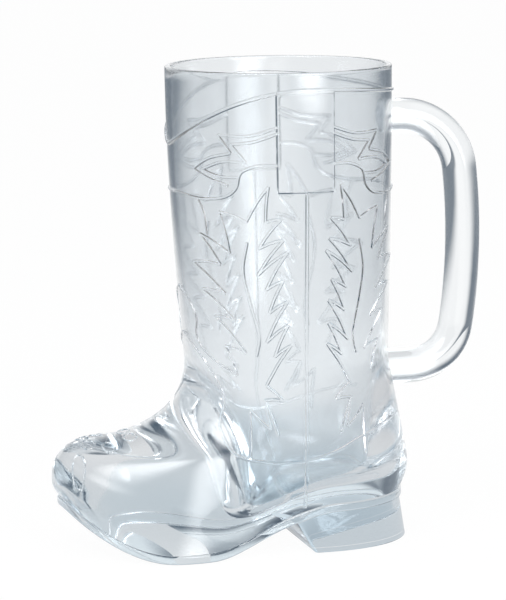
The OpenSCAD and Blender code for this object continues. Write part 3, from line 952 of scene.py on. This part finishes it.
class MUG_OT_heel(bpy.types.Operator):
    """Build the solid heel and the plate under it"""

    bl_idname = "mug.heel"
    bl_label = "Heel"

    def execute(self, context):
        boot = Boot(context.scene.boot_shape)
        s = boot.s
        low = s.lift_t + s.bond
        walls = [boot.heel_ring(t, low) for t in np.linspace(0, 1, 12)]
        base = [level(p, low) for p in inward(walls[0], HEEL_MIDDLE, HEEL_SHARES[:0:-1])]
        top = [boot.on_sole(p, -s.bond) for p in inward(walls[-1], HEEL_MIDDLE, HEEL_SHARES[1:])]
        rings = [*base, *walls, *top]
        block = ring_mesh(boot, "heel_solid", rings, both_caps(rings, len(base)), ("heel", "bond"))
        dress(block, "heel_block")
        base = inward(boot.heel_outline(0, LIFT_SOFT), HEEL_MIDDLE, HEEL_SHARES[::-1])
        rings = [level(p, 0.0) for p in base]
        for a in SOFT_TURN[1:]:
            edge = boot.heel_outline(0, LIFT_SOFT * (1 - np.sin(a)))
            rings.append(level(edge, LIFT_SOFT * (1 - np.cos(a))))
        seat = len(rings)
        top = inward(boot.heel_outline(s.lift_t), HEEL_MIDDLE, HEEL_SHARES)
        rings += [level(p, s.lift_t) for p in top]
        lift = ring_mesh(boot, "heel_plate", rings, range(seat, len(rings)), ("heel", "bond"))
        dress(lift, "heel_lift")
        return {"FINISHED"}


class MUG_OT_handle(bpy.types.Operator):
    """Build the solid looped handle"""

    bl_idname = "mug.handle"
    bl_label = "Handle"

    def execute(self, context):
        boot = Boot(context.scene.boot_shape)
        s = boot.s
        shares = np.linspace(0, 1, 7)
        upper, lower = boot.roots
        rings = [boot.root_ring(*upper, t, s.bond) for t in shares]
        bends = (
            (boot.top_bend, s.top_bend_r, np.linspace(np.pi / 2, BOW_UP, 40)),
            (boot.bow, s.grip_bow_r, np.linspace(BOW_UP, -BOW_DOWN, 41)[1:]),
            (boot.foot_bend, s.foot_bend_r, np.linspace(-BOW_DOWN, -np.pi / 2, 40)[1:]),
        )
        for centre, radius, angles in bends:
            rings += [boot.bend_ring(centre, radius, a) for a in angles]
        rings += [boot.root_ring(*lower, t, s.bond) for t in shares[::-1]]
        rod = ring_mesh(boot, "handle_rod", rings, both_caps(rings, len(shares) - 1), ("rod", "bond"))
        dress(rod, "handle")
        return {"FINISHED"}


def studio_paper(look):
    """White paper. The camera and the light that the plastic bends see it evenly lit, with a faint
    shadow. The bent light also sees painted shade on it: grey at the sides, and a painted shadow
    round the heel."""
    mat = bpy.data.materials.new("studio_paper")
    tree = bare_tree(mat)
    white, grey = [*look.backdrop, 1], [*look.surround, 1]
    ray = add(tree, "ShaderNodeLightPath").outputs
    rays = {0: ray["Is Glossy Ray"], 1: ray["Is Transmission Ray"]}
    bent = add(tree, "ShaderNodeMath", rays, operation="MAXIMUM")
    seen = add(tree, "ShaderNodeMath", {0: bent, 1: ray["Is Camera Ray"]}, operation="MAXIMUM")
    place = add(tree, "ShaderNodeTexCoord").outputs["Object"]
    # Painted shade: the floor's glow turns grey at the sides, for light that the plastic bends.
    across = add(tree, "ShaderNodeVectorMath", {0: place, 1: ACROSS}, operation="DOT_PRODUCT")
    offset = {0: across.outputs["Value"], 1: FLOOR_LINE}
    beside = add(tree, "ShaderNodeMath", offset, operation="SUBTRACT")
    beside = add(tree, "ShaderNodeMath", {0: beside}, operation="ABSOLUTE")
    sides = add(tree, "ShaderNodeMapRange", {"Value": beside, **FLOOR_SIDE_SHADE}, **SMOOTH)
    # Painted shadow: the floor's glow turns grey round the heel, where the mug would shade the paper.
    away = add(tree, "ShaderNodeVectorMath", {0: place, 1: FLOOR_HEEL}, operation="DISTANCE")
    heel_shadow = add(tree, "ShaderNodeMapRange", {"Value": away.outputs["Value"], **FLOOR_HEEL_SHADOW}, **SMOOTH)
    # The painted shade and the painted shadow together, kept to light that the plastic bends.
    painted_shade = add(tree, "ShaderNodeMath", {0: sides, 1: heel_shadow}, operation="MAXIMUM")
    painted_shade = add(tree, "ShaderNodeMath", {0: painted_shade, 1: bent}, operation="MULTIPLY")
    colour = add(tree, "ShaderNodeMix", {"Factor": painted_shade, 6: white, 7: grey}, data_type="RGBA").outputs[2]
    paper = add(tree, "ShaderNodeBsdfDiffuse", {"Color": white})
    glow = add(tree, "ShaderNodeEmission", {"Color": colour, "Strength": 1.0})
    share = add(tree, "ShaderNodeMath", {0: seen, 1: FLOOR_GLOW}, operation="MULTIPLY")
    both = add(tree, "ShaderNodeMixShader", {0: share, 1: paper, 2: glow})
    add(tree, "ShaderNodeOutputMaterial", {"Surface": both})
    return mat


def studio_room(look):
    """The room: white to the camera, and grey to other light but for a bright field behind the mug
    and a pale ceiling."""
    world = bpy.data.worlds.new("studio_room")
    tree = bare_tree(world)
    white, grey = [*look.backdrop, 1], [*look.surround, 1]
    place = add(tree, "ShaderNodeTexCoord").outputs["Generated"]
    ray = add(tree, "ShaderNodeLightPath").outputs
    facing = add(tree, "ShaderNodeVectorMath", {0: place, 1: BEHIND}, operation="DOT_PRODUCT")
    height = add(tree, "ShaderNodeSeparateXYZ", {0: place}).outputs["Z"]
    field = add(tree, "ShaderNodeMapRange", {"Value": facing.outputs["Value"], **ROOM_FIELD}, **SMOOTH)
    low = add(tree, "ShaderNodeMapRange", {"Value": height, **ROOM_TOP}, **SMOOTH)
    ceiling = add(tree, "ShaderNodeMapRange", {"Value": height, **ROOM_CEILING}, **SMOOTH)
    share = add(tree, "ShaderNodeMath", {0: field, 1: low}, operation="MULTIPLY")
    for bright in (ceiling, ray["Is Camera Ray"]):
        share = add(tree, "ShaderNodeMath", {0: share, 1: bright}, operation="MAXIMUM")
    colour = add(tree, "ShaderNodeMix", {"Factor": share, 6: grey, 7: white}, data_type="RGBA").outputs[2]
    room = add(tree, "ShaderNodeBackground", {"Color": colour, "Strength": 1.0})
    add(tree, "ShaderNodeOutputWorld", {"Surface": room})
    return world


def softbox(name, size, power, place):
    """A lamp behind cloth that glows softly towards its edges, turned to the mug."""
    lamp = bpy.data.lights.new(name, "AREA")
    lamp.shape = "RECTANGLE"
    lamp.size, lamp.size_y, lamp.energy = *size, power
    tree = bare_tree(lamp)
    spot = add(tree, "ShaderNodeNewGeometry").outputs["Parametric"]
    middle = (0.5, 0.5, 0)
    out = add(tree, "ShaderNodeVectorMath", {0: spot, 1: middle}, operation="DISTANCE").outputs["Value"]
    soft = add(tree, "ShaderNodeMapRange", {"Value": out, **LAMP_EDGE}, **SMOOTH)
    cloth = add(tree, "ShaderNodeEmission", {"Strength": soft})
    add(tree, "ShaderNodeOutputLight", {"Surface": cloth})
    obj = bpy.data.objects.new(name, lamp)
    obj.location = place
    obj.rotation_euler = (LAMP_AIM - obj.location).to_track_quat("-Z", "Y").to_euler()
    bpy.context.scene.collection.objects.link(obj)


def set_camera(scene):
    """The photograph's view: level of the eye, distance, turn and framing."""
    azimuth, distance, height = math.radians(-14.12), 1.2234, 0.26406
    pan, pitch, roll = math.radians(0.44), math.radians(8.406), math.radians(0.574)
    focal_px = 3575.0
    origin = Boot(scene.boot_shape).origin_x
    eye = Vector((origin + distance * math.sin(azimuth), -distance * math.cos(azimuth), height))
    cam = bpy.data.cameras.new("photo_camera")
    cam.sensor_fit = "VERTICAL"
    cam.sensor_height = 24.0
    cam.lens = focal_px * cam.sensor_height / PHOTO_HEIGHT
    cam.clip_end = 100
    obj = bpy.data.objects.new("photo_camera", cam)
    view = Matrix.Translation(eye)
    for angle, axis in ((azimuth + pan, "Z"), (math.pi / 2 - pitch, "X"), (-roll, "Z")):
        view @= Matrix.Rotation(angle, 4, axis)
    obj.matrix_world = view
    scene.collection.objects.link(obj)
    scene.camera = obj


class MUG_OT_studio(bpy.types.Operator):
    """Set up the floor, the light and the camera"""

    bl_idname = "mug.studio"
    bl_label = "Studio"

    def execute(self, context):
        scene = context.scene
        scene.view_settings.view_transform = "Standard"
        bpy.ops.mesh.primitive_plane_add(size=FLOOR_SIZE, location=(0, 0, 0))
        floor = context.object
        floor.name = "studio_floor"
        floor.data.materials.append(studio_paper(scene.boot_look))
        scene.world = studio_room(scene.boot_look)
        for lamp in LAMPS:
            softbox(*lamp)
        for kind in ("max_bounces", "transmission_bounces", "glossy_bounces", "transparent_max_bounces"):
            setattr(scene.cycles, kind, LIGHT_BOUNCES)
        set_camera(scene)
        return {"FINISHED"}


class MUG_PT_panel(bpy.types.Panel):
    """Lists the mug's builders"""

    bl_label = "Boot Mug"
    bl_idname = "MUG_PT_panel"
    bl_space_type = "VIEW_3D"
    bl_region_type = "UI"
    bl_category = "Boot Mug"

    def draw(self, context):
        for op in OPERATORS:
            self.layout.operator(op.bl_idname)
        for group in (context.scene.boot_look, context.scene.boot_shape):
            box = self.layout.box()
            for key in group.__annotations__:
                box.prop(group, key)


OPERATORS = (MUG_OT_shell, MUG_OT_outsole, MUG_OT_heel, MUG_OT_handle, MUG_OT_studio)
CLASSES = (BootShape, BootLook, *OPERATORS, MUG_PT_panel)


def register():
    """Adds the mug's classes and properties to Blender."""
    for cls in CLASSES:
        bpy.utils.register_class(cls)
    bpy.types.Scene.boot_shape = PointerProperty(type=BootShape)
    bpy.types.Scene.boot_look = PointerProperty(type=BootLook)


def unregister():
    """Takes them out again."""
    del bpy.types.Scene.boot_look
    del bpy.types.Scene.boot_shape
    for cls in reversed(CLASSES):
        bpy.utils.unregister_class(cls)


def main():
    """Builds the mug and its studio."""
    register()
    bpy.ops.mug.shell()
    bpy.ops.mug.outsole()
    bpy.ops.mug.heel()
    bpy.ops.mug.handle()
    bpy.ops.mug.studio()


if __name__ == "__main__":
    main()
